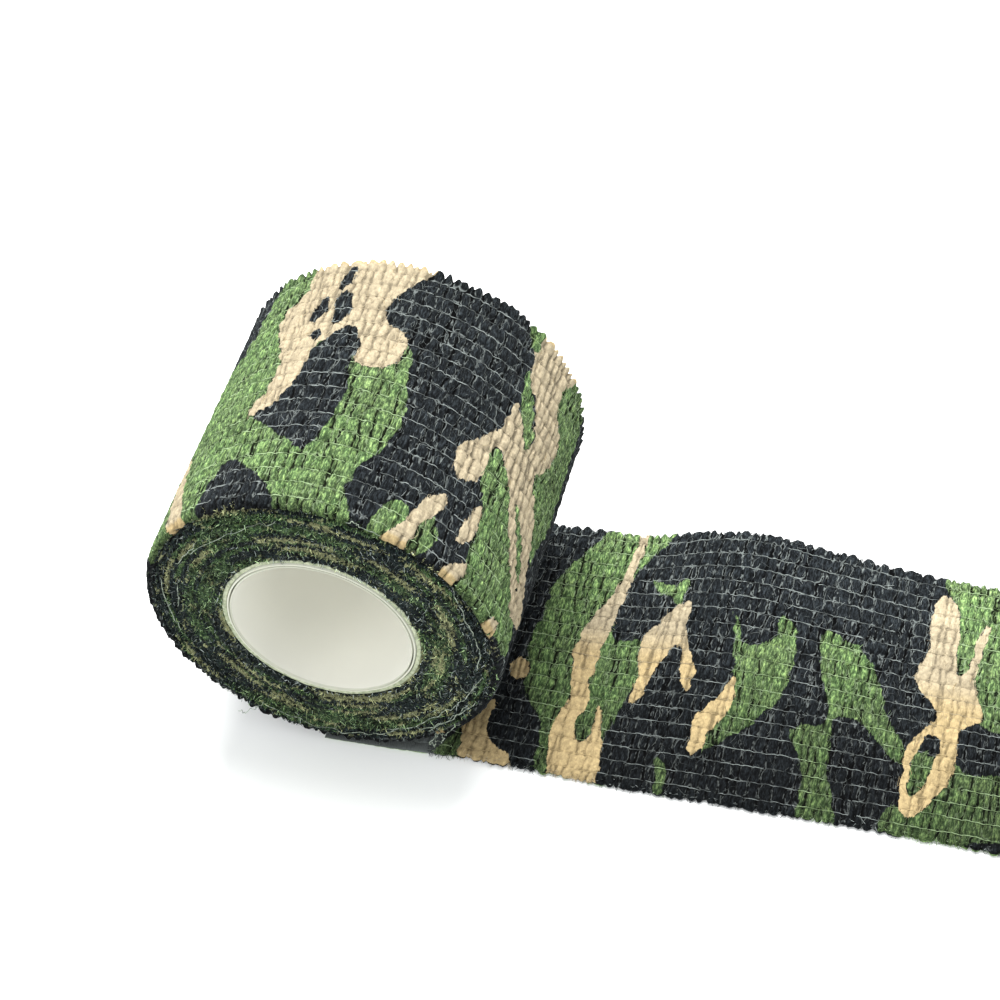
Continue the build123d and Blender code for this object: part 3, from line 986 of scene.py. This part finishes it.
def build_tail():
    columns = int((TAIL_END - 0.35 - TAIL_START) / 0.2) // 2 * 2 + 1
    s = np.linspace(TAIL_START, TAIL_END - 0.35, columns)
    points, lifts, ss, yy = [], [], [], []
    for side, each, rows in ((1, s, ROWS), (-1, s[::2], ROWS[::2])):
        for y in rows:
            h, p = tail_row(each, y, side)
            points.append(p)
            lifts.append(h if side > 0 else 0.15 + h)
            ss.append(each)
            yy.append(np.full(len(each), y * side))
    surface = Surface(s, ROWS, points[:len(ROWS)], lifts[:len(ROWS)], TAIL_PRINT, False)
    top_rows, rows2, columns2 = len(ROWS), len(ROWS[::2]), len(s[::2])
    first = top_rows * columns
    faces = grid_faces(top_rows, columns) + grid_faces(rows2, columns2, first, flip=True)

    def top(i, j):
        return i * columns + j

    def low(i, j):
        return first + i * columns2 + j

    r, r2, c, c2 = top_rows - 1, rows2 - 1, columns - 1, columns2 - 1
    for j in range(c2):
        faces.append([top(0, 2 * j + 2), top(0, 2 * j + 1), top(0, 2 * j), low(0, j), low(0, j + 1)])
        faces.append([top(r, 2 * j), top(r, 2 * j + 1), top(r, 2 * j + 2), low(r2, j + 1), low(r2, j)])
    for i in range(r2):
        faces.append([top(2 * i, 0), top(2 * i + 1, 0), top(2 * i + 2, 0), low(i + 1, 0), low(i, 0)])
        faces.append([top(2 * i + 2, c), top(2 * i + 1, c), top(2 * i, c), low(i, c2), low(i + 1, c2)])
    ss, yy = np.concatenate(ss), np.concatenate(yy)
    green, tan = printed(TAIL_PRINT, ss, yy)
    # Painted shadow: close under the roll the strip is painted a flat greyish tone, its print muted and its
    # creases no darker.
    under = under_roll(ss)
    lift = np.concatenate(lifts) * (1 - under) + 0.8 * under
    return mesh_object("tail_strip", np.concatenate(points), faces, cloth, green=green, tan=tan,
                       lift=lift, shade=painted_shade_and_sheen(yy) + 0.4 * under, pale=0.34 * under), surface


def painted_shade_and_sheen(y):
    """Painted shade and sheen across the laid strip: darker at its near edge and lighter towards its far
    edge, where it is also fluffier.
    """
    return 0.40 + 0.84 * smooth(share_across(y))


def build_tail_yarns():
    s = np.arange(TAIL_START + 0.4, TAIL_END - 0.5, 0.36)
    paths, radii, pales = [], [], []
    for i, y in enumerate(YARN_Y):
        wander, sunk, thick = yarn_wander(s + 300, i)
        _, p = tail_row(s, y, 1)
        p[:, 1] += wander
        p[:, 2] += (0.03 - 0.16 * sunk) * pressed(s)
        paths.append(p)
        radii.append(thick)
        pales.append(yarn_pale(s + 300, i))
    points, faces, owner, along = tubes(paths, radii, 4)
    yarn_y = np.array(YARN_Y)[owner]
    green, tan = printed(TAIL_PRINT, s[along], yarn_y)
    # The yarns take half of the strip's painted shade and sheen.
    return mesh_object("tail_yarn_runs", points, faces, yarn_cloth, green=green, tan=tan,
                       lift=np.full(len(points), 0.9), shade=0.5 + 0.5 * painted_shade_and_sheen(yarn_y),
                       pale=np.array(pales)[owner, along])


def build_tail_fuzz():
    """Broken fibres along the strip's two cut edges."""
    rng = np.random.default_rng(121)
    paths, radii, ss, yy = [], [], [], []
    total = 3600
    for _ in range(total):
        side = 1 if rng.random() < 0.5 else -1
        x = rng.uniform(-2 if side > 0 else 13.0, TAIL_END - 1.0)
        y = side * rng.uniform(24.2, 25.1)
        z = TAIL_MID + rng.uniform(-0.25, 0.35) + wave(x, y)
        root = np.array([x, y - side * 0.25 + stray(x, y), z])
        lean = np.array([rng.normal(0, 0.8), side * rng.uniform(0.4, 1.0), rng.normal(0.1, 0.45)])
        path, radius = short_fibre(rng, root, lean, rng.uniform(0.4, 1.3), rng.uniform(0.03, 0.055))
        path[:, 2] = np.maximum(path[:, 2], FLOOR_Z + 0.06)
        paths.append(path)
        radii.append(radius)
        ss.append(x)
        yy.append(y)
    green, tan = printed(TAIL_PRINT, ss, yy)
    tint = rng.uniform(0.5, 1.5, total)
    pale = np.where(rng.random(total) < 0.35, rng.uniform(0.2, 0.9, total), 0)
    return fibre_mesh("tail_edge_fuzz", paths, radii, cloth, green, tan, tint, pale, (0.6, 0.12))


# --- the core

def lathe(name, profile, material, wobble, seed):
    """A ring turned from a closed outline of (radius, y). rim marks its two ends, which the plastic paints
    darker as painted shade.
    """
    segments = 288
    a = 2 * math.pi * np.arange(segments) / segments
    points = []
    for r, y in profile:
        rr = r + wobble * noise(np.sin(a) * 14, y / 30, np.cos(a) * 14, 3.0, seed)
        yy = y + wobble * noise(np.sin(a) * 14, y / 30, np.cos(a) * 14, 1.5, seed + 1)
        points.append(around(rr, a, yy))
    faces = grid_faces(len(profile), segments, 0, wrap_columns=True, wrap_rows=True)
    points = np.concatenate(points)
    height = np.abs(points[:, 1])
    return mesh_object(name, points, faces, material, rim=height > height.max() - 0.2)


def ring_outline(inner, outer, half, edge):
    """A tube's wall with rounded rims, as (radius, y)."""
    quarter = np.radians([0, 22.5, 45, 67.5, 90])
    line = []
    for r0, sign, up, order in ((inner + edge, -1, -1, quarter), (outer - edge, 1, -1, quarter[::-1]),
                                (outer - edge, 1, 1, quarter), (inner + edge, -1, 1, quarter[::-1])):
        line += [(r0 + sign * edge * math.cos(t), up * (half - edge + edge * math.sin(t))) for t in order]
    return line


def tube_outline(inner, half):
    """The core tube's wall, whose rims have a thin inner lip, a fine groove and an outer lip."""
    rim = [(0, 0.25), (0.02, 0.06), (0.06, 0), (0.14, 0), (0.18, 0.06), (0.20, 4.0), (0.38, 4.0),
           (0.40, 0.08), (0.45, 0.03), (0.60, 0.03), (0.67, 0.10), (0.70, 0.30)]
    near = [(inner + r, down - half) for r, down in rim]
    return near + [(r, -y) for r, y in near[::-1]]


def build_core():
    tube = [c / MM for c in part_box("core_tube")[1]]
    wrap = [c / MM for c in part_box("core_wrap")[1]]
    tube_rim = tube_outline(tube[0] - TUBE_WALL, tube[1] + 0.15)
    sleeve_rim = ring_outline(tube[0] + 0.02, wrap[0] + 0.1, wrap[1] + 0.12, 0.14)
    return (lathe("core_tube_wall", tube_rim, plastic_material(), 0.03, 131),
            lathe("core_wrap_sleeve", sleeve_rim, paper_material(), 0.07, 133))


# --- pieces on their bodies

roll, roll_skin = build_roll()
roll_fibres = lay_fibres("roll_loose_fibres", roll_skin, 6500, 141, from_axis, np.ones_like)
edges = build_edges()
fuzz = build_edge_fuzz()
filaments = build_filaments()
roll_yarn = build_roll_yarns()
tube_wall, wrap_sleeve = build_core()
for piece in (roll, roll_fibres, edges, fuzz, filaments, roll_yarn, tube_wall, wrap_sleeve):
    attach(piece, "roll")
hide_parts("roll_outer_ply")
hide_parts("roll_inner_ply")
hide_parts(*[f"roll_yarn_{i:02d}" for i in range(1, YARNS + 1)])
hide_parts("core_tube")
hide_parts("core_wrap")

tail, tail_skin = build_tail()
# The loose fibres on the strip take its painted shade and sheen.
tail_fibres = lay_fibres("tail_loose_fibres", tail_skin, 4200, 151, lambda p: np.array([0.0, 0, 1.0]), painted_shade_and_sheen)
tail_yarn = build_tail_yarns()
tail_fuzz = build_tail_fuzz()
for piece in (tail, tail_yarn, tail_fuzz, tail_fibres):
    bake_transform(piece)
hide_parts("tail_inner_ply", "tail_outer_ply", "tail_end_inner_ply", "tail_end_outer_ply")
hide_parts("tail_yarns", "tail_end_yarns")


# --- floor, light, camera

floor = mesh_object("floor", [(-2500, -2500, FLOOR_Z - 0.02), (2500, -2500, FLOOR_Z - 0.02),
                              (2500, 2500, FLOOR_Z - 0.02), (-2500, 2500, FLOOR_Z - 0.02)],
                    [[0, 1, 2, 3]], floor_material())


def soft_light(name, place, size, energy):
    lamp = bpy.data.lights.new(name, "AREA")
    lamp.shape, lamp.size, lamp.energy = "DISK", size, energy
    obj = add_object(name, lamp)
    obj.location = place
    obj.rotation_euler = (Vector((0.03, 0, -0.01)) - obj.location).to_track_quat("-Z", "Y").to_euler()


soft_light("key_light", (-0.02, 0.32, 0.66), 0.60, 12.0)
soft_light("fill_light", (-0.36, -0.62, 0.50), 0.7, 3.7)
world = bpy.data.worlds.new("studio")
world.use_nodes = True
world.node_tree.nodes["Background"].inputs[0].default_value = (0.97, 0.99, 1.0, 1)
world.node_tree.nodes["Background"].inputs[1].default_value = 0.95
bpy.context.scene.world = world
bpy.context.scene.view_settings.view_transform = "Standard"

VIEW_AZIMUTH, VIEW_ELEVATION, VIEW_ROLL = 21.276, 47.728, -8.344
camera_data = bpy.data.cameras.new("camera")
camera_data.lens, camera_data.sensor_width = 85.86, 36.0
camera_data.clip_start, camera_data.clip_end = 0.02, 20.0
camera = add_object("camera", camera_data)
az, el, ro = (math.radians(x) for x in (VIEW_AZIMUTH, VIEW_ELEVATION, VIEW_ROLL))
back = Vector((math.sin(az) * math.cos(el), -math.cos(az) * math.cos(el), math.sin(el)))
right = (-back).cross(Vector((0, 0, 1))).normalized()
up = right.cross(-back)
turned_right = right * math.cos(ro) + up * math.sin(ro)
turned_up = up * math.cos(ro) - right * math.sin(ro)
camera.matrix_world = Matrix.Translation((0.109382, -0.22574, 0.271963)) @ Matrix(
    (turned_right, turned_up, back)).transposed().to_4x4()
bpy.context.scene.camera = camera
